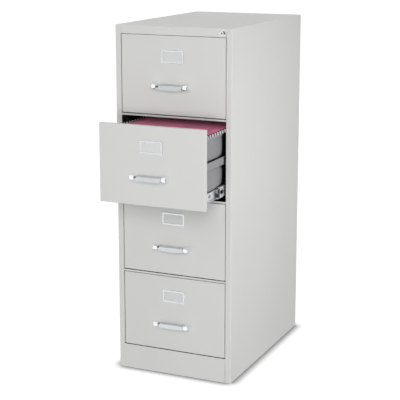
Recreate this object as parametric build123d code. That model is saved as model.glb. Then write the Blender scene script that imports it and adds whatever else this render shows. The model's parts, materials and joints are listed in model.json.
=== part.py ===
from build123d import *
import os

# A legal-size, four-drawer vertical filing cabinet in sheet steel, standing on the floor.
# Millimetres. +X is to the right of a person who faces the drawers, +Y runs from the
# drawer fronts to the back, +Z is up. The origin is on the floor, under the carcass centre.

# ---------------------------------------------------------------- driving dimensions
case_width = 463.6
case_depth = 723.9
case_height = 1320.8
case_sheet = 1.2
case_bend = 1.8

drawer_count = 4
base_height = 94.0
top_rail_height = 31.8
top_rail_lip = 0.8
cross_rail_height = 8.0
cross_rail_depth = 20.0
stile_width = 22.8
stile_return = 16.0
rear_flange = 14.0
top_rim_height = 12.0
back_sheet = 1.0
back_top_gap = 2.0

frame_sheet = 1.5
frame_height = 30.0
frame_inset = 2.8
frame_opening_half_width = 196.0
frame_opening_half_depth = 325.0
frame_front_gap = 1.0
gusset_side = 62.0

glide_from_side = 19.0
glide_from_front = 32.0
glide_foot_radius = 13.0
glide_foot_height = 5.0
glide_stem_radius = 4.0
glide_stem_top = 46.0
glide_foot_edge = 1.5
glide_foot_clearance = 1.5
glide_stem_clearance = 0.3

drawer_sheet = 1.0
front_side_gap = 1.5
front_bottom_gap = 2.6
front_top_gap = 1.6
front_thickness = 17.0
front_edge_radius = 1.8
drawer_depth = 690.0
drawer_half_width = 194.0
drawer_side_bottom = 22.0
drawer_side_top = 254.0
drawer_back_top = 238.0
floor_flange = 5.0
fold_bend = 1.5
liner_clearance = 0.3
hem_depth = 12.0
hem_width = 2.2
hem_bend = 0.9
gutter_bottom = 140.0
gutter_top = 169.5
gutter_reach = 10.0

drawer_travel = 620.0
open_drawer = 2
open_distance = 180.0

slide_length = 640.0
slide_setback = 35.0
slide_centre = 43.0
slide_thickness = 12.7
slide_sheet = 1.2
outer_half_height = 26.1
middle_half_height = 20.9
inner_half_height = 16.8
inner_lip = 8.2
middle_lip_gap = 2.2
outer_lip_gap = 3.2
cage_lip_gap = 3.0
web_gap = 1.0
inner_slot_length = 22.0
inner_slot_height = 10.0
inner_slot_pitch = 96.0
middle_slot_length = 30.0
middle_slot_height = 14.0
middle_slot_pitch = 128.0
slot_margin = 30.0
cage_length = 300.0
cage_sheet = 0.5
cage_half_height = 18.5
cage_web_gap = 0.3
upright_width = 40.0
upright_front_gap = 5.0
upright_rear_inset = 38.0

handle_drop = 181.6
handle_half_span = 62.0
handle_reach = 35.0
post_width = 19.5
post_height = 17.5
post_corner = 5.5
post_taper = 1.0
post_dome = 3.5
grip_thickness = 4.0
grip_edge = 1.2
grip_top = 3.0
grip_bottom = -9.0
grip_drop = 4.8
grip_front = 29.5
grip_root = 14.0
grip_run = 6.0
grip_bend = 5.0
screw_radius = 2.1
screw_clearance = 0.2
screw_depth = 12.0
screw_head_radius = 4.2
screw_head_height = 2.6

label_drop = 75.6
label_width = 89.0
label_height = 46.5
label_depth = 2.8
label_border = 5.5
label_corner = 2.0
label_edge = 0.9
label_pocket = 0.8
label_card_sheet = 0.5
label_card_margin = 3.5
label_card_clearance = 0.3

lock_x = 195.0
lock_z = 1303.5
lock_rim_radius = 11.5
lock_rim_height = 2.2
lock_rim_edge = 1.2
lock_barrel_radius = 9.5
lock_cylinder_radius = 7.5
lock_plug_radius = 5.5
lock_travel = 8.0
lock_clearance = 0.1
lock_plug_clearance = 0.05
lock_barrel_length = 28.0
lock_proud = 9.0
lock_cylinder_edge = 0.8
lock_cylinder_end = 4.0
lock_plug_recess = 0.4
lock_plug_end_gap = 0.5
lock_nut_radius = 12.0
lock_nut_height = 4.5
key_slot_width = 1.6
key_slot_height = 7.6
key_slot_depth = 14.0
lock_bar_x = 211.5
lock_bar_width = 11.0
lock_bar_sheet = 2.0
lock_bar_behind_return = 4.0
lock_bar_hook = 9.0
lock_arm_height = 10.0
lock_arm_overlap = 4.0
lock_arm_gap = 0.5

folder_count = 18
folder_pitch = 22.0
folder_thickness = 18.0
folder_width = 375.0
folder_bottom = 29.5
folder_rise = 3.0
folder_foot = 9.0
first_folder = 6.0
rod_sheet = 1.2
rod_tip = 200.0
rod_rise = 9.5
rod_drop = 2.0
rod_tip_width = 2.6
rod_seat_gap = 0.2
rod_folder_gap = 0.4

overshoot = 1.0

# ---------------------------------------------------------------- derived dimensions
half_width = case_width / 2
half_depth = case_depth / 2
case_corner = case_bend + case_sheet / 2
front_y = -half_depth
opening_half_width = half_width - stile_width
top_rail_bottom = case_height - top_rail_height
bay_height = (
    top_rail_bottom - base_height - (drawer_count - 1) * cross_rail_height
) / drawer_count
bay_pitch = bay_height + cross_rail_height
front_width = 2 * (opening_half_width - front_side_gap)
front_height = bay_height - front_bottom_gap - front_top_gap
front_top = bay_height - front_top_gap
frame_wall_x = half_width - frame_inset
frame_wall_front = front_y + stile_return + frame_front_gap
frame_wall_back = half_depth - 2 * frame_inset
drawer_front_end = front_y + front_thickness
drawer_back_end = front_y + drawer_depth
rail_face_x = drawer_half_width + slide_thickness
slide_front = front_y + slide_setback
slide_back = slide_front + slide_length
handle_z = front_top - handle_drop
label_z = front_top - label_drop
side_centre_x = drawer_half_width - drawer_sheet / 2


# ---------------------------------------------------------------- helpers
def block(x0, x1, y0, y1, z0, z1):
    """A plain box between two opposite corners."""
    centre = Pos((x0 + x1) / 2, (y0 + y1) / 2, (z0 + z1) / 2)
    return centre * Box(x1 - x0, y1 - y0, z1 - z0)


def rod_along_y(radius, x, z, y0, y1):
    """A round bar parallel to Y."""
    return Pos(x, (y0 + y1) / 2, z) * Rot(90, 0, 0) * Cylinder(radius, y1 - y0)


def strip(path, thickness, bend):
    """The section of a bent sheet whose middle follows a path."""
    line = FilletPolyline(*path, radius=bend)
    return trace(line, line_width=thickness)


def sheet_along_z(path, thickness, bend, z0, z1):
    """A bent sheet that runs up, from its plan as (x, y) points."""
    return extrude(Plane.XY.offset(z0) * strip(path, thickness, bend), z1 - z0)


def sheet_along_y(path, thickness, bend, y0, y1):
    """A bent sheet that runs back, from its front view as (x, z) points."""
    return extrude(Plane.XZ.offset(-y0) * strip(path, thickness, bend), y0 - y1)


def sheet_along_x(path, thickness, bend, x0, x1):
    """A bent sheet that runs across, from its side view as (y, z) points."""
    return extrude(Plane.YZ.offset(x0) * strip(path, thickness, bend), x1 - x0)


def both_sides(shape):
    """A right-hand piece and its mirror image on the left."""
    return [shape, mirror(shape, about=Plane.YZ)]


def save(name, *shapes):
    """Write one sub-part, each of its pieces as a solid of its own."""
    solids = [solid for shape in shapes for solid in shape.solids()]
    export_step(Compound(label=name, children=solids), f"parts/{name}.step")


# ---------------------------------------------------------------- carcass
def side_panel():
    """The right-hand side, folded round at the front into the stile and at the back."""
    middle = case_sheet / 2
    path = [
        (opening_half_width + middle, front_y + stile_return),
        (opening_half_width + middle, front_y + middle),
        (half_width - middle, front_y + middle),
        (half_width - middle, half_depth - middle),
        (half_width - rear_flange, half_depth - middle),
    ]
    return sheet_along_z(
        path, case_sheet, case_bend, frame_sheet, case_height - top_rim_height
    )


def top_panel():
    """The lid with its rim, and the rail under its front edge that holds the lock."""
    rim_bottom = case_height - top_rim_height
    outer = block(-half_width, half_width, front_y, half_depth, rim_bottom, case_height)
    upright_edges = outer.edges().filter_by(Axis.Z)
    outer = fillet(upright_edges, case_corner)
    outer = fillet(outer.faces().sort_by(Axis.Z)[-1].edges(), case_bend)
    inner = block(
        case_sheet - half_width,
        half_width - case_sheet,
        front_y + case_sheet,
        half_depth - case_sheet,
        rim_bottom - overshoot,
        case_height - case_sheet,
    )
    middle = case_sheet / 2
    rail_bottom = top_rail_bottom - top_rail_lip + middle
    rail = sheet_along_x(
        [
            (front_y + middle, rim_bottom + case_sheet),
            (front_y + middle, rail_bottom),
            (front_y + stile_return, rail_bottom),
        ],
        case_sheet,
        case_bend,
        -opening_half_width,
        opening_half_width,
    )
    hole = rod_along_y(
        lock_barrel_radius + lock_clearance,
        lock_x,
        lock_z,
        front_y - overshoot,
        front_y + case_sheet + overshoot,
    )
    return outer - inner + rail - hole


def back_panel():
    """The flat sheet inside the rear flanges of the sides."""
    outside = half_depth - case_sheet
    edge = half_width - case_sheet - case_bend
    top = case_height - top_rim_height - back_top_gap
    return block(-edge, edge, outside - back_sheet, outside, frame_sheet, top)


def base_front():
    """The fixed panel under the bottom drawer, with its sill folded back."""
    middle = case_sheet / 2
    path = [
        (front_y + middle, frame_sheet),
        (front_y + middle, base_height - middle),
        (front_y + stile_return, base_height - middle),
    ]
    return sheet_along_x(
        path, case_sheet, case_bend, -opening_half_width, opening_half_width
    )


def cross_rail(z0):
    """One channel between two drawers, with its flat side to the front."""
    middle = case_sheet / 2
    path = [
        (front_y + cross_rail_depth, z0 + cross_rail_height - middle),
        (front_y + middle, z0 + cross_rail_height - middle),
        (front_y + middle, z0 + middle),
        (front_y + cross_rail_depth, z0 + middle),
    ]
    return sheet_along_x(
        path, case_sheet, case_bend, -opening_half_width, opening_half_width
    )


def glide_places():
    """Where the four feet stand, as (x, y)."""
    x = half_width - glide_from_side
    y = half_depth - glide_from_front
    return [(side * x, end * y) for side in (-1, 1) for end in (-1, 1)]


def floor_ring():
    """The flat ring that the whole case stands on, open in the middle."""
    ring = block(-half_width, half_width, front_y, half_depth, 0, frame_sheet)
    ring = fillet(ring.edges().filter_by(Axis.Z), case_corner)
    ring -= block(
        -frame_opening_half_width,
        frame_opening_half_width,
        -frame_opening_half_depth,
        frame_opening_half_depth,
        -overshoot,
        frame_sheet + overshoot,
    )
    for x, y in glide_places():
        ring -= Pos(x, y, 0) * Cylinder(
            glide_foot_radius + glide_foot_clearance, 4 * frame_sheet
        )
    return ring


def gusset(side, end):
    """The plate across one corner of the upstand, with the hole for the glide's stem."""
    corner_x = side * frame_wall_x
    corner_y = frame_wall_front if end < 0 else frame_wall_back
    outline = Polyline(
        (corner_x, corner_y),
        (corner_x - side * gusset_side, corner_y),
        (corner_x, corner_y - end * gusset_side),
        close=True,
    )
    plate = extrude(Plane.XY.offset(frame_height) * make_face(outline), frame_sheet)
    x = side * (half_width - glide_from_side)
    y = end * (half_depth - glide_from_front)
    hole_radius = glide_stem_radius + glide_stem_clearance
    return plate - Pos(x, y, frame_height) * Cylinder(hole_radius, 4 * frame_sheet)


def base_frame():
    """The floor ring, the four bars that stand on it, and a gusset over each foot."""
    x1 = frame_wall_x
    x0 = x1 - frame_sheet
    y0 = frame_wall_front + frame_sheet
    y1 = frame_wall_back - frame_sheet
    side_bars = both_sides(block(x0, x1, y0, y1, frame_sheet, frame_height))
    front_bar = block(-x1, x1, frame_wall_front, y0, frame_sheet, frame_height)
    back_bar = block(-x1, x1, y1, frame_wall_back, frame_sheet, frame_height)
    gussets = [gusset(side, end) for side in (-1, 1) for end in (-1, 1)]
    return [floor_ring(), *side_bars, front_bar, back_bar, *gussets]


def levelling_glides():
    """Four feet with threaded stems, screwed up level with the floor ring."""
    foot = Cylinder(
        glide_foot_radius, glide_foot_height, align=(Align.CENTER, Align.CENTER, Align.MIN)
    )
    foot = fillet(foot.edges().sort_by(Axis.Z)[-1], glide_foot_edge)
    stem = Cylinder(
        glide_stem_radius, glide_stem_top, align=(Align.CENTER, Align.CENTER, Align.MIN)
    )
    return [Pos(x, y, 0) * (foot + stem) for x, y in glide_places()]


def upright(y0):
    """A right-hand channel inside the case, which the slides are fixed to."""
    middle = case_sheet / 2
    inside = half_width - case_sheet
    path = [
        (inside, y0 + middle),
        (rail_face_x + middle, y0 + middle),
        (rail_face_x + middle, y0 + upright_width - middle),
        (inside, y0 + upright_width - middle),
    ]
    return sheet_along_z(path, case_sheet, case_bend, base_height, top_rail_bottom)


# ---------------------------------------------------------------- slides
def channel(web_x, lip_x, half_height, thickness, y0, y1):
    """A right-hand slide member: web and two lips, about the height of its centre."""
    inward = 1 if lip_x > web_x else -1
    web = web_x + inward * thickness / 2
    lip = half_height - thickness / 2
    path = [(lip_x, lip), (web, lip), (web, -lip), (lip_x, -lip)]
    return Pos(0, 0, slide_centre) * sheet_along_y(path, thickness, thickness, y0, y1)


def slots(web_x, length, height, pitch):
    """A row of rounded holes through a web, from a slide member's front end to its back."""
    outline = SlotOverall(length, height)
    hole = extrude(Plane.YZ * outline, slide_thickness, both=True)
    count = int((slide_length - 2 * slot_margin) // pitch) + 1
    first_y = slide_front + slot_margin
    return [Pos(web_x, first_y + index * pitch, slide_centre) * hole for index in range(count)]


def outer_member():
    """The member that is fixed to the case."""
    lip_x = drawer_half_width + outer_lip_gap
    return channel(
        rail_face_x, lip_x, outer_half_height, slide_sheet, slide_front, slide_back
    )


def middle_member():
    """The member that runs half as far as the drawer."""
    web_x = rail_face_x - slide_sheet - web_gap
    lip_x = drawer_half_width + middle_lip_gap
    member = channel(
        web_x, lip_x, middle_half_height, slide_sheet, slide_front, slide_back
    )
    return member - slots(
        web_x, middle_slot_length, middle_slot_height, middle_slot_pitch
    )


def inner_member():
    """The member that is fixed to the drawer."""
    member = channel(
        drawer_half_width,
        drawer_half_width + inner_lip,
        inner_half_height,
        slide_sheet,
        slide_front,
        slide_back,
    )
    return member - slots(
        drawer_half_width, inner_slot_length, inner_slot_height, inner_slot_pitch
    )


def ball_cage():
    """The retainer of the balls between the inner and the middle member."""
    middle_web = rail_face_x - 2 * slide_sheet - web_gap
    centre_y = (slide_front + slide_back) / 2
    return channel(
        middle_web - cage_web_gap,
        drawer_half_width + cage_lip_gap,
        cage_half_height,
        cage_sheet,
        centre_y - cage_length / 2,
        centre_y + cage_length / 2,
    )


# ---------------------------------------------------------------- drawer
def drawer_front():
    """The outer pan of a drawer front, with its returns folded back."""
    half = front_width / 2
    bottom = front_bottom_gap
    pan = block(-half, half, front_y, drawer_front_end, bottom, front_top)
    pan = fillet(pan.edges().filter_by(Axis.Y), front_edge_radius)
    pan = fillet(pan.faces().sort_by(Axis.Y)[0].edges(), front_edge_radius)
    pan -= block(
        drawer_sheet - half,
        half - drawer_sheet,
        front_y + drawer_sheet,
        drawer_front_end + overshoot,
        bottom + drawer_sheet,
        front_top - drawer_sheet,
    )
    for side in (-1, 1):
        pan -= rod_along_y(
            screw_radius + screw_clearance,
            side * handle_half_span,
            handle_z,
            front_y - overshoot,
            front_y + drawer_sheet + overshoot,
        )
    return pan


def drawer_liner():
    """The flat inner wall that closes the back of the pan."""
    margin = drawer_sheet + liner_clearance
    half = front_width / 2 - margin
    return block(
        -half,
        half,
        drawer_front_end - drawer_sheet,
        drawer_front_end,
        front_bottom_gap + margin,
        front_top - margin,
    )


def drawer_side():
    """The right-hand side: hemmed outwards along its top, with a gutter half way up."""
    middle = drawer_sheet / 2
    wall = sheet_along_y(
        [
            (side_centre_x, drawer_side_bottom),
            (side_centre_x, drawer_side_top - middle),
            (side_centre_x + hem_width, drawer_side_top - middle),
            (side_centre_x + hem_width, drawer_side_top - hem_depth),
        ],
        drawer_sheet,
        hem_bend,
        drawer_front_end,
        drawer_back_end,
    )
    gutter = sheet_along_y(
        [
            (side_centre_x, gutter_bottom + middle),
            (side_centre_x + gutter_reach, gutter_bottom + middle),
            (side_centre_x + gutter_reach, gutter_top),
        ],
        drawer_sheet,
        fold_bend,
        drawer_front_end,
        drawer_back_end,
    )
    return wall + gutter


def drawer_tray():
    """The floor, folded down along both sides, and the back wall welded across its end."""
    middle = drawer_sheet / 2
    edge = drawer_half_width - drawer_sheet - middle
    level = drawer_side_bottom + floor_flange - middle
    path = [
        (-edge, drawer_side_bottom),
        (-edge, level),
        (edge, level),
        (edge, drawer_side_bottom),
    ]
    wall_front = drawer_back_end - drawer_sheet
    floor = sheet_along_y(path, drawer_sheet, fold_bend, drawer_front_end, wall_front)
    wall_edge = edge + middle
    low = drawer_side_bottom
    wall = block(-wall_edge, wall_edge, wall_front, drawer_back_end, low, drawer_back_top)
    return [floor, wall]


def handle_post(x):
    """A domed post of the handle, standing on the drawer front."""
    section = Plane.XZ.offset(-front_y) * RectangleRounded(
        post_width, post_height, post_corner
    )
    post = extrude(section, handle_reach, taper=post_taper)
    post = fillet(post.faces().sort_by(Axis.Y)[0].edges(), post_dome)
    return Pos(x, 0, handle_z) * post


def handle_grip():
    """The bar between the posts: set out from its roots, and deepest in the middle."""
    root_y = front_y - grip_root
    bar_y = front_y - grip_front + grip_thickness / 2
    knee = handle_half_span - post_width / 2
    elbow = knee - grip_run
    low = grip_bottom - grip_drop
    plan = [
        (-handle_half_span, root_y),
        (-knee, root_y),
        (-elbow, bar_y),
        (elbow, bar_y),
        (knee, root_y),
        (handle_half_span, root_y),
    ]
    section = Plane.XY.offset(low) * strip(plan, grip_thickness, grip_bend)
    bar = extrude(section, grip_top - low)
    bar = fillet(bar.faces().sort_by(Axis.Z)[-1].edges(), grip_edge)
    left_bottom = (-handle_half_span, grip_bottom)
    right_bottom = (handle_half_span, grip_bottom)
    left_top = (-handle_half_span, grip_top)
    right_top = (handle_half_span, grip_top)
    outline = make_face(
        [
            Line(left_top, right_top),
            Line(right_top, right_bottom),
            ThreePointArc(right_bottom, (0, low), left_bottom),
            Line(left_bottom, left_top),
        ]
    )
    grip = bar & extrude(Plane.XZ.offset(-front_y) * outline, handle_reach)
    return Pos(0, 0, handle_z) * grip


def drawer_handle():
    """A cast pull in one piece, drilled from behind for its screws."""
    left_post = handle_post(-handle_half_span)
    right_post = handle_post(handle_half_span)
    handle = left_post + right_post + handle_grip()
    for side in (-1, 1):
        handle -= rod_along_y(
            screw_radius,
            side * handle_half_span,
            handle_z,
            front_y - screw_depth - overshoot,
            front_y + overshoot,
        )
    return handle


def handle_screws():
    """The two screws that hold the handle, with their heads behind the pan's face."""
    inside = front_y + drawer_sheet
    screws = []
    for side in (-1, 1):
        x = side * handle_half_span
        shank = rod_along_y(
            screw_radius - screw_clearance / 2,
            x,
            handle_z,
            front_y - screw_depth,
            inside,
        )
        head = rod_along_y(
            screw_head_radius, x, handle_z, inside, inside + screw_head_height
        )
        screws.append(shank + head)
    return screws


def label_holder():
    """A pressed frame whose pocket is open at the top for the card."""
    half = label_width / 2
    low = label_z - label_height / 2
    high = label_z + label_height / 2
    frame = block(-half, half, front_y - label_depth, front_y, low, high)
    frame = fillet(frame.edges().filter_by(Axis.Y), label_corner)
    frame = fillet(frame.faces().sort_by(Axis.Y)[0].edges(), label_edge)
    frame -= block(
        label_border - half,
        half - label_border,
        front_y - label_depth - overshoot,
        front_y + overshoot,
        low + label_border,
        high - label_border,
    )
    pocket = label_card_margin - label_card_clearance
    frame -= block(
        pocket - half,
        half - pocket,
        front_y - label_pocket,
        front_y + overshoot,
        low + pocket,
        high + overshoot,
    )
    return frame


def label_card():
    """The blank card in the holder."""
    half = label_width / 2 - label_card_margin
    low = label_z - label_height / 2 + label_card_margin
    high = label_z + label_height / 2 - label_card_margin
    return block(-half, half, front_y - label_card_sheet, front_y, low, high)


# ---------------------------------------------------------------- hanging folders
def folder_y(index):
    """The middle of one hanging folder, in the closed drawer."""
    return drawer_front_end + first_folder + folder_pitch * (index + 0.5)


def folder_bodies():
    """The pockets, each a tapered solid between its two rods."""
    low = folder_bottom
    high = drawer_side_top + folder_rise
    bodies = []
    for index in range(folder_count):
        y = folder_y(index)
        outline = Polyline(
            (y - folder_foot / 2, low),
            (y + folder_foot / 2, low),
            (y + folder_thickness / 2, high),
            (y - folder_thickness / 2, high),
            close=True,
        )
        section = Plane.YZ.offset(-folder_width / 2) * make_face(outline)
        bodies.append(extrude(section, folder_width))
    return bodies


def folder_rods():
    """Two flat rods to a folder, with ends that hook over the hems of the sides."""
    seat = drawer_side_top + rod_seat_gap
    shoulder = side_centre_x - drawer_sheet
    outline = Polyline(
        (0, seat - rod_drop),
        (shoulder, seat - rod_drop),
        (shoulder, seat),
        (rod_tip - rod_tip_width, seat),
        (rod_tip - rod_tip_width, seat - rod_drop),
        (rod_tip, seat - rod_drop),
        (rod_tip, seat + rod_rise),
        (0, seat + rod_rise),
        close=True,
    )
    right = make_face(outline)
    section = Plane.XZ * (right + mirror(right, about=Plane.YZ))
    rod = extrude(section, rod_sheet / 2, both=True)
    offset = folder_thickness / 2 + rod_folder_gap + rod_sheet / 2
    return [
        Pos(0, folder_y(index) + side * offset, 0) * rod
        for index in range(folder_count)
        for side in (-1, 1)
    ]


# ---------------------------------------------------------------- lock
def lock_housing():
    """The fixed barrel with its rim, and the ring nut that holds it in the top rail."""
    back = front_y + lock_barrel_length
    rim = rod_along_y(lock_rim_radius, lock_x, lock_z, front_y - lock_rim_height, front_y)
    rim = fillet(rim.edges().sort_by(Axis.Y)[0], lock_rim_edge)
    barrel = rod_along_y(lock_barrel_radius, lock_x, lock_z, front_y - overshoot, back)
    bore = rod_along_y(
        lock_cylinder_radius + lock_clearance,
        lock_x,
        lock_z,
        front_y - lock_proud,
        back + overshoot,
    )
    inside = front_y + case_sheet
    nut_back = inside + lock_nut_height
    nut = rod_along_y(lock_nut_radius, lock_x, lock_z, inside, nut_back)
    nut -= rod_along_y(
        lock_barrel_radius + lock_clearance,
        lock_x,
        lock_z,
        inside - overshoot,
        nut_back + overshoot,
    )
    return [rim + barrel - bore, nut]


def lock_cylinder():
    """The push-in cylinder, standing proud while the drawers are free to open."""
    front = front_y - lock_proud
    back = front_y + lock_barrel_length
    tube = rod_along_y(lock_cylinder_radius, lock_x, lock_z, front, back)
    tube = fillet(tube.edges().sort_by(Axis.Y)[0], lock_cylinder_edge)
    bore = rod_along_y(
        lock_plug_radius + lock_plug_clearance,
        lock_x,
        lock_z,
        front - overshoot,
        back - lock_cylinder_end,
    )
    return tube - bore


def lock_plug():
    """The part that the key turns, with its upright key slot."""
    front = front_y - lock_proud + lock_plug_recess
    back = front_y + lock_barrel_length - lock_cylinder_end - lock_plug_end_gap
    plug = rod_along_y(lock_plug_radius, lock_x, lock_z, front, back)
    slot = block(
        lock_x - key_slot_width / 2,
        lock_x + key_slot_width / 2,
        front - overshoot,
        front + key_slot_depth,
        lock_z - key_slot_height / 2,
        lock_z + key_slot_height / 2,
    )
    return plug - slot


def lock_bar():
    """The bar behind the right stile with a hook for each drawer, and its arm to the lock."""
    y0 = front_y + stile_return + lock_bar_behind_return
    x1 = lock_bar_x + lock_bar_width
    low = base_height + slide_centre
    high = lock_z + lock_arm_height / 2
    bar = block(lock_bar_x, x1, y0, y0 + lock_bar_sheet, low, high)
    for bay in range(drawer_count):
        hook_z = base_height + bay * bay_pitch + gutter_top + lock_bar_hook
        bar += block(
            lock_bar_x,
            lock_bar_x + lock_bar_sheet,
            y0,
            y0 + lock_bar_hook,
            hook_z,
            hook_z + lock_bar_hook,
        )
    arm_front = y0 + lock_bar_sheet
    arm_y = front_y + lock_barrel_length + lock_travel + lock_arm_gap
    arm_back = arm_y + lock_bar_sheet
    arm_low = high - lock_arm_height
    arm = block(lock_x - lock_arm_overlap, x1, arm_y, arm_back, arm_low, high)
    arm += block(x1 - lock_bar_sheet, x1, arm_front, arm_back, arm_low, high)
    return [bar, arm]


# ---------------------------------------------------------------- build
def build_case():
    """Every piece that stands still."""
    save("side_panel_right", side_panel())
    save("side_panel_left", mirror(side_panel(), about=Plane.YZ))
    save("top_panel", top_panel())
    save("back_panel", back_panel())
    save("base_front", base_front())
    rails = [
        cross_rail(base_height + bay * bay_pitch + bay_height)
        for bay in range(drawer_count - 1)
    ]
    save("cross_rails", *rails)
    save("base_frame", *base_frame())
    save("levelling_glides", *levelling_glides())
    front_upright = upright(slide_front + upright_front_gap)
    rear_upright = upright(slide_back - upright_rear_inset)
    save("uprights", *both_sides(front_upright), *both_sides(rear_upright))
    slides = [
        Pos(0, 0, base_height + bay * bay_pitch) * member
        for bay in range(drawer_count)
        for member in both_sides(outer_member())
    ]
    save("slide_outer_members", *slides)


def build_lock():
    """The lock and the bar that it moves."""
    save("lock_housing", *lock_housing())
    save("lock_cylinder", lock_cylinder())
    save("lock_plug", lock_plug())
    save("lock_bar", *lock_bar())


def build_drawers():
    """The drawers, counted from the top, and the slide pieces that move with them."""
    drawer_pieces = {
        "front": [drawer_front()],
        "liner": [drawer_liner()],
        "sides": both_sides(drawer_side()),
        "tray": drawer_tray(),
        "handle": [drawer_handle()],
        "handle_screws": handle_screws(),
        "label_holder": [label_holder()],
        "label_card": [label_card()],
        "slide_inner": both_sides(inner_member()),
    }
    middle_pieces = both_sides(middle_member())
    cage_pieces = both_sides(ball_cage())
    for number in range(1, drawer_count + 1):
        level = base_height + (drawer_count - number) * bay_pitch
        pulled = open_distance if number == open_drawer else 0.0
        for name, shapes in drawer_pieces.items():
            moved = [Pos(0, -pulled, level) * shape for shape in shapes]
            save(f"drawer_{number}_{name}", *moved)
        middle = [Pos(0, -pulled / 2, level) * shape for shape in middle_pieces]
        save(f"drawer_{number}_slide_middle", *middle)
        cages = [Pos(0, -pulled * 3 / 4, level) * shape for shape in cage_pieces]
        save(f"drawer_{number}_ball_cages", *cages)


def build_folders():
    """The hanging folders in the open drawer."""
    level = base_height + (drawer_count - open_drawer) * bay_pitch
    place = Pos(0, -open_distance, level)
    save("hanging_folders", *[place * body for body in folder_bodies()])
    save("folder_rods", *[place * rod for rod in folder_rods()])


os.makedirs("parts", exist_ok=True)
build_case()
build_lock()
build_drawers()
build_folders()
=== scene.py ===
import bpy
import bmesh
import json
import math
import random
from mathutils import Matrix, Vector


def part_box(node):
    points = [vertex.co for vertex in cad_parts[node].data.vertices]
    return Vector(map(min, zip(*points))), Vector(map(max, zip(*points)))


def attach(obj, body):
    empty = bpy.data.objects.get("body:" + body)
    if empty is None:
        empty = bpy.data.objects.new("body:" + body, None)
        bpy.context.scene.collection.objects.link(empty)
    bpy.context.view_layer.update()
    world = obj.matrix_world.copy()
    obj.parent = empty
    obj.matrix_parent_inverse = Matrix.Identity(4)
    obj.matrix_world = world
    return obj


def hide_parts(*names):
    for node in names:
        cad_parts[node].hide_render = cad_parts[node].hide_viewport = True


# A four-drawer steel filing cabinet. Metres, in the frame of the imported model: +X is to the
# right of a person who faces the drawers, +Y runs to the back, +Z is up from the floor.

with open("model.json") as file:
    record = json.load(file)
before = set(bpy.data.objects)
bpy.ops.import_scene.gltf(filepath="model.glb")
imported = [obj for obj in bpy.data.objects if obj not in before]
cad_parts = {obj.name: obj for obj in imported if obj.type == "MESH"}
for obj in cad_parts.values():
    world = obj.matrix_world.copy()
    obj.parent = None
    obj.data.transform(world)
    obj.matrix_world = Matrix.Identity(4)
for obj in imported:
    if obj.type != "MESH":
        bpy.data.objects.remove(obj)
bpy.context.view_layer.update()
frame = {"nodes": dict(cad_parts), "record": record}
nodes = frame["nodes"]
drawer_numbers = (1, 2, 3, 4)
open_drawer = 2

# ---------------------------------------------------------------- dimensions
case_sheet = 0.0012
case_low, case_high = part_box("top_panel")
half_width = case_high[0]
front_y = case_low[1]
case_top = case_high[2]
edge_round = 0.0014
lip_depth = 0.0011

grip_half_length = 0.0522

plug_low, plug_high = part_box("lock_plug")
lock_x = (plug_low[0] + plug_high[0]) / 2
lock_z = (plug_low[2] + plug_high[2]) / 2
lock_rim_height = 0.0023
lock_side_radius = 0.0073
lock_keyway_radius = 0.0030

folder_count = 18
folder_pitch = 0.022
folder_half_width = 0.1875
folder_half_foot = 0.0045
folder_columns = 12
folder_lean = 0.002
folder_seed = 7
card_sheet = 0.0003
card_hem = 0.018
card_clearance = 0.00005
wrap_steps = 8
fall_steps = 8
fall_share = 0.985
fall_belly = 0.7
fold_share = 0.5
ripple_height = 0.0006
ripple_full_depth = 0.1
ripple_waves = 1.3
rod_offset = 0.010
rod_half_sheet = 0.0006
rod_coat_x = 0.1955

ball_radius = 0.0014
ball_pitch = 0.0115
ball_x = 0.1996
ball_row = 0.01825

bumper_length = 0.016
bumper_overhang = 0.004
bumper_low_x = 0.2026
bumper_high_x = 0.2050
bumper_half_height = 0.0190
bumper_corner = 0.005
bumper_corner_segments = 5
bumper_edge = 0.0004
bumper_edge_segments = 2
sharp_angle = 1.0
across_edge = 0.001

# ---------------------------------------------------------------- camera, lights and floor
camera_place = Vector((1.8032, -4.15325, 1.6731))
camera_turn = math.radians(24.095)
camera_dip = math.radians(12.288)
camera_lens = 105.12
camera_sensor = 36.0
camera_shift = -0.05
camera_reach = 60.0

# Each light: its name, its place, the point that it faces, its width, height and watts.
soft_lights = (
    ("key_light", (1.5, -4.0, 2.3), (0.0, -0.4, 0.9), 1.6, 1.6, 61.0),
    ("front_light", (0.9, -4.9, 0.55), (0.0, -0.4, 0.7), 2.0, 0.9, 63.0),
    ("side_light", (1.5, -0.35, 0.95), (0.2, -0.2, 0.85), 0.2, 1.6, 9.2),
    ("top_light", (0.0, 0.1, 3.5), (0.0, 0.0, 1.3), 1.2, 1.2, 7.0),
    ("left_light", (-3.2, 0.2, 1.3), (0.0, 0.1, 0.8), 1.8, 1.6, 45.0),
    ("back_light", (-2.6, 4.4, 1.6), (0.0, 0.2, 0.8), 2.6, 1.8, 110.0),
)

white = (1.0, 1.0, 1.0, 1.0)
world_seen = 1.05
world_light = 0.36
reflection_stops = (
    (0.00, 0.30),
    (0.47, 0.55),
    (0.50, 0.10),
    (0.56, 0.16),
    (0.62, 1.30),
    (1.00, 1.10),
)

floor_reach = 30.0
floor_light = 0.38
floor_gleam = 1.05
contact_distance = 0.045
contact_samples = 16
contact_openness = (0.45, 0.98)
contact_dark = 0.12
floor_seen = 1.05

flag_x = 2.4
flag_front_y = -3.2
flag_back_y = 0.1
flag_height = 1.7
flag_glow = 0.03


def make_camera():
    """A camera to the right of the cabinet and a little above it, tipped slightly down."""
    data = bpy.data.cameras.new("camera")
    data.lens = camera_lens
    data.sensor_width = camera_sensor
    data.shift_y = camera_shift
    data.clip_end = camera_reach
    camera = bpy.data.objects.new("camera", data)
    bpy.context.scene.collection.objects.link(camera)
    camera.location = camera_place
    camera.rotation_euler = (math.pi / 2 - camera_dip, 0.0, camera_turn)
    bpy.context.scene.camera = camera


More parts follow.
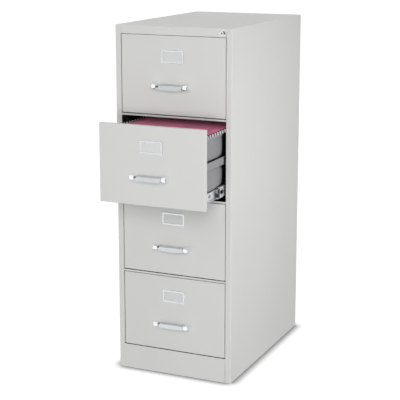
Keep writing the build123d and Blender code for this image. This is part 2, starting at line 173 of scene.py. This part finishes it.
# ---------------------------------------------------------------- material helpers
class Shader:
    """A material's node tree, with short ways to add and join nodes."""

    def __init__(self, name):
        self.material = bpy.data.materials.new(name)
        self.material.use_nodes = True
        self.tree = self.material.node_tree
        self.tree.nodes.clear()
        self.output = self.tree.nodes.new("ShaderNodeOutputMaterial")
        self.body = self.tree.nodes.new("ShaderNodeBsdfPrincipled")
        self.join(self.body.outputs[0], self.output.inputs["Surface"])

    def join(self, source, target):
        self.tree.links.new(source, target)

    def set(self, **values):
        for name, value in values.items():
            self.body.inputs[name.replace("_", " ")].default_value = value

    def coordinates(self):
        """Where a point is in the model's frame, in metres."""
        return self.tree.nodes.new("ShaderNodeTexCoord").outputs["Object"]

    def stretched(self, scale):
        """The same coordinates, scaled differently along each axis."""
        mapping = self.tree.nodes.new("ShaderNodeMapping")
        mapping.inputs["Scale"].default_value = scale
        self.join(self.coordinates(), mapping.inputs["Vector"])
        return mapping.outputs["Vector"]

    def split(self):
        """The three coordinates apart."""
        node = self.tree.nodes.new("ShaderNodeSeparateXYZ")
        self.join(self.coordinates(), node.inputs[0])
        return node.outputs

    def noise(self, scale, detail=2.0, roughness=0.5, vector=None):
        node = self.tree.nodes.new("ShaderNodeTexNoise")
        node.inputs["Scale"].default_value = scale
        node.inputs["Detail"].default_value = detail
        node.inputs["Roughness"].default_value = roughness
        self.join(vector or self.coordinates(), node.inputs["Vector"])
        return node.outputs["Fac"]

    def math(self, operation, first, second=0.0):
        node = self.tree.nodes.new("ShaderNodeMath")
        node.operation = operation
        for value, socket in zip((first, second), node.inputs):
            if isinstance(value, (int, float)):
                socket.default_value = value
            else:
                self.join(value, socket)
        return node.outputs["Value"]

    def choose(self, factor, first, second):
        """A value that is the first one where the factor is 0, and the second where it is 1."""
        other = self.math("SUBTRACT", 1.0, factor)
        first_part = self.math("MULTIPLY", other, first)
        second_part = self.math("MULTIPLY", factor, second)
        return self.math("ADD", first_part, second_part)

    def spread(self, value, low, high, source=(0.3, 0.7)):
        """A value moved from its source range into low to high."""
        node = self.tree.nodes.new("ShaderNodeMapRange")
        node.inputs["From Min"].default_value = source[0]
        node.inputs["From Max"].default_value = source[1]
        node.inputs["To Min"].default_value = low
        node.inputs["To Max"].default_value = high
        self.join(value, node.inputs["Value"])
        return node.outputs["Result"]

    def blend(self, factor, first, second):
        """A colour that goes from first to second."""
        node = self.tree.nodes.new("ShaderNodeMix")
        node.data_type = "RGBA"
        self.join(factor, node.inputs["Factor"])
        for value, socket in ((first, node.inputs["A"]), (second, node.inputs["B"])):
            if isinstance(value, tuple):
                socket.default_value = (*value, 1.0)
            else:
                self.join(value, socket)
        return node.outputs["Result"]

    def mottle(self, pattern, first, second):
        """A colour that drifts between two, as a noise pattern does."""
        return self.blend(self.spread(pattern, 0.0, 1.0), first, second)

    def painted_crease_shade(self, colour, dark, distance, source):
        """A colour with painted shade that turns it dark in creases and narrow gaps."""
        node = self.tree.nodes.new("ShaderNodeAmbientOcclusion")
        node.inputs["Distance"].default_value = distance
        node.samples = contact_samples
        return self.blend(self.spread(node.outputs["AO"], 1.0, 0.0, source), colour, dark)

    def colour(self, socket):
        self.join(socket, self.body.inputs["Base Color"])

    def rough(self, socket):
        self.join(socket, self.body.inputs["Roughness"])

    def bump(self, height, distance, strength=1.0):
        node = self.tree.nodes.new("ShaderNodeBump")
        node.inputs["Distance"].default_value = distance
        node.inputs["Strength"].default_value = strength
        self.join(height, node.inputs["Height"])
        self.join(node.outputs["Normal"], self.body.inputs["Normal"])


# ---------------------------------------------------------------- materials
enamel_light = (0.670, 0.672, 0.662)
enamel_shade = (0.648, 0.650, 0.640)
# Near-black painted shade for the inside of the case, where light doesn't reach.
case_inner_shade = (0.016, 0.016, 0.016)
# Near-black painted shade for the frame inside the case.
inner_shade_dark = (0.012, 0.012, 0.012)
inner_shade_light = (0.022, 0.022, 0.021)
drawer_grey_dark = (0.250, 0.245, 0.262)
drawer_grey_light = (0.277, 0.271, 0.287)
# Painted shade that blackens the drawer bodies in creases and narrow gaps.
drawer_crease_shade = (0.006, 0.006, 0.006)
drawer_shade_reach = 0.040
drawer_shade_openness = (0.56, 0.72)
zinc_dark = (0.60, 0.62, 0.65)
zinc_light = (0.78, 0.80, 0.83)
chrome_dark = (0.70, 0.71, 0.74)
chrome_light = (0.76, 0.77, 0.80)
# Grey-green painted reflection for the handle's grip, and near-white painted highlight for its
# posts, on one chrome.
grip_reflection_dark = (0.66, 0.70, 0.71)
grip_reflection_light = (0.71, 0.75, 0.76)
post_highlight_dark = (0.88, 0.90, 0.91)
post_highlight_light = (0.94, 0.96, 0.97)
lock_dark = (0.84, 0.85, 0.87)
lock_light = (0.90, 0.91, 0.93)
lock_shadow = (0.07, 0.07, 0.075)
nickel_dark = (0.74, 0.74, 0.74)
nickel_light = (0.84, 0.84, 0.83)
rod_dark = (0.05, 0.05, 0.055)
rod_light = (0.09, 0.09, 0.10)
rod_coat = (0.86, 0.86, 0.85)
label_dark = (0.64, 0.65, 0.65)
label_light = (0.70, 0.71, 0.70)
maroon_dark = (0.58, 0.155, 0.262)
maroon_light = (0.69, 0.210, 0.330)
maroon_fibre = (0.70, 0.27, 0.40)
nylon_dark = (0.018, 0.018, 0.019)
nylon_light = (0.032, 0.032, 0.033)


def enamel_colour(shader):
    """Light grey baked enamel, with the slight drift in tone of a sprayed coat."""
    shader.rough(shader.spread(shader.noise(60.0, detail=4.0), 0.38, 0.48))
    shader.bump(shader.noise(700.0, detail=1.0), distance=0.00005, strength=0.4)
    shader.set(Coat_Weight=0.12, Coat_Roughness=0.3)
    return shader.mottle(shader.noise(3.0, detail=3.0), enamel_shade, enamel_light)


def drawer_front_enamel():
    """The enamel on the drawer fronts."""
    shader = Shader("drawer_front_enamel")
    shader.colour(enamel_colour(shader))
    return shader.material


def case_enamel():
    """The same enamel on the outside of the case, and near-black painted shade on its inside."""
    shader = Shader("case_enamel")
    x, y, z = shader.split()
    skin = case_sheet / 2
    back_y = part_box("back_panel")[1][1]
    # Points inside the case skin, behind the front lip and below the top edge, take the painted
    # shade.
    shaded_inside = shader.math("LESS_THAN", shader.math("ABSOLUTE", x), half_width - skin)
    for value, limit, operation in (
        (y, front_y + lip_depth, "GREATER_THAN"),
        (y, back_y - skin, "LESS_THAN"),
        (z, case_top - edge_round, "LESS_THAN"),
    ):
        inside = shader.math(operation, value, limit)
        shaded_inside = shader.math("MULTIPLY", shaded_inside, inside)
    shader.colour(shader.blend(shaded_inside, enamel_colour(shader), case_inner_shade))
    return shader.material


def inner_frame_shade():
    """Near-black painted shade on the frame inside the case, matt, with a fine drift in tone."""
    # The slot is named inner_primer; its near-black colour is painted shade.
    shader = Shader("inner_primer")
    grain = shader.noise(300.0, detail=2.0)
    shader.colour(shader.mottle(grain, inner_shade_dark, inner_shade_light))
    shader.rough(shader.spread(grain, 0.55, 0.7))
    return shader.material


def drawer_enamel():
    """Mid grey satin enamel on the drawer bodies, with black painted shade in its creases."""
    shader = Shader("drawer_enamel")
    grey = shader.mottle(shader.noise(9.0, detail=4.0), drawer_grey_dark, drawer_grey_light)
    # The creases darken by painted shade, by how enclosed each point is.
    shader.colour(
        shader.painted_crease_shade(grey, drawer_crease_shade, drawer_shade_reach, drawer_shade_openness)
    )
    shader.rough(shader.spread(shader.noise(80.0, detail=3.0), 0.38, 0.50))
    shader.bump(shader.noise(900.0, detail=1.0), distance=0.00005, strength=0.5)
    return shader.material


def zinc_steel():
    """Zinc-plated rolled steel, with marks drawn out along the slide."""
    shader = Shader("zinc_steel")
    along_slide = shader.stretched((400.0, 14.0, 900.0))
    streaks = shader.noise(1.0, detail=4.0, roughness=0.6, vector=along_slide)
    shader.colour(shader.mottle(streaks, zinc_dark, zinc_light))
    shader.rough(shader.spread(streaks, 0.26, 0.42))
    shader.bump(streaks, distance=0.00004, strength=0.4)
    shader.set(Metallic=0.9)
    return shader.material


def chrome():
    """Bright chrome plate with a slight haze."""
    shader = Shader("bright_chrome")
    haze = shader.noise(120.0, detail=3.0)
    shader.colour(shader.mottle(haze, chrome_dark, chrome_light))
    shader.rough(shader.spread(haze, 0.07, 0.14))
    shader.set(Metallic=1.0)
    return shader.material


def lock_chrome():
    """Chrome on the lock, with painted shade on the side of the push cylinder and round the
    keyway.
    """
    shader = Shader("lock_chrome")
    haze = shader.noise(400.0, detail=3.0)
    x, y, z = shader.split()
    across = shader.math("SUBTRACT", x, lock_x)
    upward = shader.math("SUBTRACT", z, lock_z)
    across_squared = shader.math("MULTIPLY", across, across)
    upward_squared = shader.math("MULTIPLY", upward, upward)
    radius = shader.math("SQRT", shader.math("ADD", across_squared, upward_squared))
    outside = shader.math("GREATER_THAN", radius, lock_side_radius)
    proud = shader.math("LESS_THAN", y, front_y - lock_rim_height)
    side = shader.math("MULTIPLY", outside, proud)
    keyway = shader.math("LESS_THAN", radius, lock_keyway_radius)
    # The side of the push cylinder and the keyway take painted shade.
    shadow = shader.math("MAXIMUM", side, keyway)
    bright = shader.mottle(haze, lock_dark, lock_light)
    shader.colour(shader.blend(shadow, bright, lock_shadow))
    shader.rough(shader.spread(haze, 0.10, 0.18))
    shader.set(Metallic=1.0)
    return shader.material


def handle_chrome():
    """Chrome on the handle, tinted near white on its posts as a painted highlight and grey-green
    on the grip between them as a painted reflection; the grip also has a rougher, brushed finish.
    """
    shader = Shader("handle_chrome")
    haze = shader.noise(120.0, detail=3.0)
    along_grip = shader.stretched((60.0, 900.0, 900.0))
    brushing = shader.noise(1.0, detail=3.0, roughness=0.5, vector=along_grip)
    x = shader.math("ABSOLUTE", shader.split()[0])
    post = shader.math("GREATER_THAN", x, grip_half_length)
    # The grip takes the painted reflection and the posts the painted highlight.
    grip_painted_reflection = shader.mottle(haze, grip_reflection_dark, grip_reflection_light)
    bright = shader.mottle(haze, post_highlight_dark, post_highlight_light)
    shader.colour(shader.blend(post, grip_painted_reflection, bright))
    brushed = shader.spread(brushing, 0.28, 0.40)
    smooth = shader.spread(haze, 0.06, 0.12)
    shader.rough(shader.choose(post, brushed, smooth))
    shader.set(Metallic=1.0)
    return shader.material


def lock_steel():
    """Satin nickel, with a fine grain."""
    shader = Shader("lock_steel")
    grain = shader.noise(1500.0, detail=2.0)
    shader.colour(shader.mottle(grain, nickel_dark, nickel_light))
    shader.rough(shader.spread(grain, 0.10, 0.2))
    shader.set(Metallic=1.0)
    return shader.material


def rod_steel():
    """Flat strip steel with a white coating on its hooked tips."""
    shader = Shader("rod_steel")
    along_rod = shader.stretched((20.0, 900.0, 900.0))
    grain = shader.noise(1.0, detail=3.0, roughness=0.5, vector=along_rod)
    steel = shader.mottle(grain, rod_dark, rod_light)
    x = shader.split()[0]
    tip = shader.math("GREATER_THAN", shader.math("ABSOLUTE", x), rod_coat_x)
    shader.colour(shader.blend(tip, steel, rod_coat))
    shader.rough(shader.spread(grain, 0.3, 0.45))
    shader.set(Metallic=0.2)
    return shader.material


def label_paper():
    """Blank off-white card with a paper tooth."""
    shader = Shader("label_card")
    tooth = shader.noise(1800.0, detail=3.0)
    shader.colour(shader.mottle(tooth, label_dark, label_light))
    shader.bump(tooth, distance=0.00008, strength=0.5)
    shader.set(Roughness=0.85)
    return shader.material


def folder_card():
    """Maroon pressed card, flecked with lighter fibres."""
    shader = Shader("folder_card")
    along_card = shader.stretched((220.0, 900.0, 900.0))
    fibres = shader.noise(1.0, detail=4.0, roughness=0.6, vector=along_card)
    card = shader.mottle(shader.noise(18.0, detail=3.0), maroon_dark, maroon_light)
    shader.colour(shader.blend(shader.spread(fibres, 0.0, 0.35), card, maroon_fibre))
    shader.rough(shader.spread(fibres, 0.6, 0.8))
    shader.bump(fibres, distance=0.0001, strength=0.5)
    return shader.material


def black_nylon():
    """Moulded black nylon."""
    shader = Shader("glide_plastic")
    grain = shader.noise(500.0, detail=2.0)
    shader.colour(shader.mottle(grain, nylon_dark, nylon_light))
    shader.rough(shader.spread(grain, 0.5, 0.62))
    return shader.material


materials = {
    "case_enamel": case_enamel(),
    "drawer_front_enamel": drawer_front_enamel(),
    "drawer_enamel": drawer_enamel(),
    "inner_primer": inner_frame_shade(),
    "zinc_steel": zinc_steel(),
    "bright_chrome": chrome(),
    "handle_chrome": handle_chrome(),
    "lock_steel": lock_steel(),
    "lock_chrome": lock_chrome(),
    "rod_steel": rod_steel(),
    "label_card": label_paper(),
    "folder_card": folder_card(),
    "glide_plastic": black_nylon(),
}


def paint_nodes():
    """Gives each CAD node the material of its slot in the record, or a closer one."""
    for part in frame["record"]["subparts"]:
        name = part["node"]
        finish = part["material_slot"]
        if finish == "case_enamel" and name.startswith("drawer_"):
            finish = "drawer_front_enamel"
        if name.endswith("_handle"):
            finish = "handle_chrome"
        if name in ("lock_housing", "lock_cylinder", "lock_plug"):
            finish = "lock_chrome"
        data = nodes[name].data
        data.materials.clear()
        data.materials.append(materials[finish])


# ---------------------------------------------------------------- pieces
def add_piece(name, built, slot, body):
    """A new piece of the object, in the finish of a slot, that moves with a body."""
    for face in built.faces:
        face.smooth = True
    mesh = bpy.data.meshes.new(name)
    built.to_mesh(mesh)
    built.free()
    mesh.materials.append(materials[slot])
    piece = bpy.data.objects.new(name, mesh)
    bpy.context.scene.collection.objects.link(piece)
    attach(piece, body)
    return piece


def card_section(top, bottom, lean):
    """A folder's side view as (y, z) points: over one rod, down, and up over the other."""
    wrap = rod_half_sheet + card_sheet / 2 + card_clearance
    over = top - rod_half_sheet / 2
    side = [(rod_offset - wrap, over - card_hem), (rod_offset - wrap, over)]
    for step in range(1, wrap_steps):
        angle = math.pi * step / wrap_steps
        side.append((rod_offset - wrap * math.cos(angle), over + wrap * math.sin(angle)))
    side.append((rod_offset + wrap, over))
    depth = over - bottom
    for step in range(1, fall_steps + 1):
        fall = step / fall_steps
        belly = (rod_offset + wrap - folder_half_foot) * (1 - fall) ** fall_belly
        y = folder_half_foot + belly
        side.append((y + lean * fall, over - depth * fall * fall_share))
    side.append((folder_half_foot * fold_share + lean, bottom))
    other = [(2 * lean * min(1.0, (over - z) / depth) - y, z) for y, z in side]
    return side + other[::-1]


def make_folders():
    """The hanging folders: each one a card that wraps over its two rods."""
    low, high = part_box("hanging_folders")
    rod_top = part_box("folder_rods")[1][2]
    first_y = low[1] + (high[1] - low[1] - folder_pitch * (folder_count - 1)) / 2
    chance = random.Random(folder_seed)
    built = bmesh.new()
    for index in range(folder_count):
        centre = first_y + folder_pitch * index
        lean = chance.uniform(-folder_lean, folder_lean)
        section = card_section(rod_top, low[2], lean)
        ripple = chance.uniform(0.0, math.tau)
        rows = []
        for column in range(folder_columns + 1):
            along = column / folder_columns
            x = folder_half_width * (2 * along - 1)
            row = []
            for y, z in section:
                share = min(1.0, (rod_top - z) / ripple_full_depth)
                swing = math.sin(ripple + math.tau * ripple_waves * along)
                wave = ripple_height * share * swing
                row.append(built.verts.new((x, centre + y + wave, z)))
            rows.append(row)
        for left, right in zip(rows, rows[1:]):
            for corners in zip(left, left[1:], right[1:], right):
                built.faces.new(corners)
    piece = add_piece("folder_cards", built, "folder_card", f"drawer_{open_drawer}")
    thick = piece.modifiers.new("card", "SOLIDIFY")
    thick.thickness = card_sheet
    thick.offset = 0.0
    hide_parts("hanging_folders")


def make_balls(number):
    """The rows of balls that the retainers hold."""
    low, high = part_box(f"drawer_{number}_ball_cages")
    middle_z = (low[2] + high[2]) / 2
    count = int((high[1] - low[1]) / ball_pitch)
    first_y = (low[1] + high[1] - ball_pitch * (count - 1)) / 2
    built = bmesh.new()
    for side in (-1, 1):
        for row in (-1, 1):
            for index in range(count):
                place = (side * ball_x, first_y + index * ball_pitch, middle_z + row * ball_row)
                bmesh.ops.create_icosphere(
                    built, subdivisions=1, radius=ball_radius, matrix=Matrix.Translation(place)
                )
    add_piece(f"drawer_{number}_balls", built, "lock_steel", f"drawer_{number}_cage")


def make_bumpers(number):
    """The black moulded stop that caps the front end of each middle slide member."""
    low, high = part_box(f"drawer_{number}_slide_middle")
    centre_x = (bumper_low_x + bumper_high_x) / 2
    centre_y = low[1] - bumper_overhang + bumper_length / 2
    centre_z = (low[2] + high[2]) / 2
    size = (bumper_high_x - bumper_low_x, bumper_length, 2 * bumper_half_height, 1.0)
    built = bmesh.new()
    for side in (-1, 1):
        place = Matrix.Translation((side * centre_x, centre_y, centre_z))
        bmesh.ops.create_cube(built, size=1.0, matrix=place @ Matrix.Diagonal(size))
    corners = [
        edge for edge in built.edges if abs(edge.verts[0].co.x - edge.verts[1].co.x) > across_edge
    ]
    bmesh.ops.bevel(
        built,
        geom=corners,
        offset=bumper_corner,
        segments=bumper_corner_segments,
        affect="EDGES",
    )
    bmesh.ops.bevel(
        built,
        geom=[edge for edge in built.edges if edge.calc_face_angle(0.0) > sharp_angle],
        offset=bumper_edge,
        segments=bumper_edge_segments,
        affect="EDGES",
    )
    name = f"drawer_{number}_slide_stops"
    add_piece(name, built, "glide_plastic", f"drawer_{number}_middle_slide")


# ---------------------------------------------------------------- surroundings
def studio_sheet(name, corners, make_surface):
    """One flat sheet of the studio, with its own surface."""
    mesh = bpy.data.meshes.new(name)
    mesh.from_pydata(corners, [], [(0, 1, 2, 3)])
    sheet = bpy.data.objects.new(name, mesh)
    bpy.context.scene.collection.objects.link(sheet)
    material = bpy.data.materials.new(name)
    material.use_nodes = True
    tree = material.node_tree
    tree.nodes.clear()
    output = tree.nodes.new("ShaderNodeOutputMaterial")
    tree.links.new(make_surface(tree), output.inputs["Surface"])
    mesh.materials.append(material)
    return sheet


def glow(tree, kind, strength):
    """An Emission or a Background node of one brightness."""
    node = tree.nodes.new(kind)
    node.inputs["Color"].default_value = white
    node.inputs["Strength"].default_value = strength
    return node


def by_ray(tree, ray, other, shown):
    """One shader for rays of a kind, such as the camera's, and another for all the others."""
    path = tree.nodes.new("ShaderNodeLightPath")
    mix = tree.nodes.new("ShaderNodeMixShader")
    tree.links.new(path.outputs[ray], mix.inputs["Fac"])
    tree.links.new(other, mix.inputs[1])
    tree.links.new(shown, mix.inputs[2])
    return mix.outputs[0]


def floor_surface(tree):
    """White to the camera, darker in the contact shadow, and dimmer as a light source."""
    lit = glow(tree, "ShaderNodeEmission", floor_light)
    gleam = glow(tree, "ShaderNodeEmission", floor_gleam)
    seen = glow(tree, "ShaderNodeEmission", floor_seen)
    contact = tree.nodes.new("ShaderNodeAmbientOcclusion")
    contact.inputs["Distance"].default_value = contact_distance
    contact.samples = contact_samples
    ramp = tree.nodes.new("ShaderNodeMapRange")
    ramp.inputs["From Min"].default_value = contact_openness[0]
    ramp.inputs["From Max"].default_value = contact_openness[1]
    ramp.inputs["To Min"].default_value = contact_dark
    ramp.inputs["To Max"].default_value = floor_seen
    tree.links.new(contact.outputs["AO"], ramp.inputs["Value"])
    tree.links.new(ramp.outputs["Result"], seen.inputs["Strength"])
    reflected = by_ray(tree, "Is Glossy Ray", lit.outputs[0], gleam.outputs[0])
    return by_ray(tree, "Is Camera Ray", reflected, seen.outputs[0])


def make_floor():
    """A white floor that darkens only where something stands on it."""
    reach = floor_reach
    corners = [(-reach, -reach, 0), (reach, -reach, 0), (reach, reach, 0), (-reach, reach, 0)]
    floor = studio_sheet("floor", corners, floor_surface)


def flag_surface(tree):
    return glow(tree, "ShaderNodeEmission", flag_glow).outputs[0]


def make_dark_flag():
    """A black screen at the right that only the chrome sees, as studios use for its edges."""
    corners = [
        (flag_x, flag_front_y, 0.0),
        (flag_x, flag_back_y, 0.0),
        (flag_x, flag_back_y, flag_height),
        (flag_x, flag_front_y, flag_height),
    ]
    flag = studio_sheet("dark_flag", corners, flag_surface)
    for kind in ("camera", "diffuse", "transmission", "volume_scatter", "shadow"):
        setattr(flag, f"visible_{kind}", False)


def reflected_studio(tree):
    """The bands of light and dark, by height, that show in the chrome."""
    studio = tree.nodes.new("ShaderNodeBackground")
    direction = tree.nodes.new("ShaderNodeTexCoord").outputs["Generated"]
    split = tree.nodes.new("ShaderNodeSeparateXYZ")
    height = tree.nodes.new("ShaderNodeMapRange")
    height.inputs["From Min"].default_value = -1.0
    ramp = tree.nodes.new("ShaderNodeValToRGB")
    stops = ramp.color_ramp.elements
    stops.remove(stops[1])
    for index, (place, level) in enumerate(reflection_stops):
        stop = stops[0] if index == 0 else stops.new(place)
        stop.position = place
        stop.color = (level, level, level, 1.0)
    tree.links.new(direction, split.inputs[0])
    tree.links.new(split.outputs["Z"], height.inputs["Value"])
    tree.links.new(height.outputs["Result"], ramp.inputs["Fac"])
    tree.links.new(ramp.outputs["Color"], studio.inputs["Color"])
    return studio.outputs[0]


def make_world():
    """White to the camera, soft light to the object, and a banded studio in its chrome."""
    world = bpy.data.worlds.new("world")
    world.use_nodes = True
    bpy.context.scene.world = world
    tree = world.node_tree
    tree.nodes.clear()
    output = tree.nodes.new("ShaderNodeOutputWorld")
    lit = glow(tree, "ShaderNodeBackground", world_light)
    seen = glow(tree, "ShaderNodeBackground", world_seen)
    reflected = by_ray(tree, "Is Glossy Ray", lit.outputs[0], reflected_studio(tree))
    surface = by_ray(tree, "Is Camera Ray", reflected, seen.outputs[0])
    tree.links.new(surface, output.inputs["Surface"])


def soft_light(name, place, target, width, height, power):
    """A rectangular soft box that faces a point, and isn't seen itself."""
    data = bpy.data.lights.new(name, "AREA")
    data.shape = "RECTANGLE"
    data.size = width
    data.size_y = height
    data.energy = power
    light = bpy.data.objects.new(name, data)
    bpy.context.scene.collection.objects.link(light)
    light.location = place
    light.rotation_euler = (Vector(target) - Vector(place)).to_track_quat("-Z", "Y").to_euler()
    light.visible_camera = False
    light.visible_glossy = False


def light_scene():
    bpy.context.scene.view_settings.view_transform = "Standard"
    bpy.context.scene.view_settings.look = "None"
    for light in soft_lights:
        soft_light(*light)


make_camera()
make_floor()
make_world()
light_scene()
make_dark_flag()
paint_nodes()
make_folders()
for number in drawer_numbers:
    make_balls(number)
    make_bumpers(number)
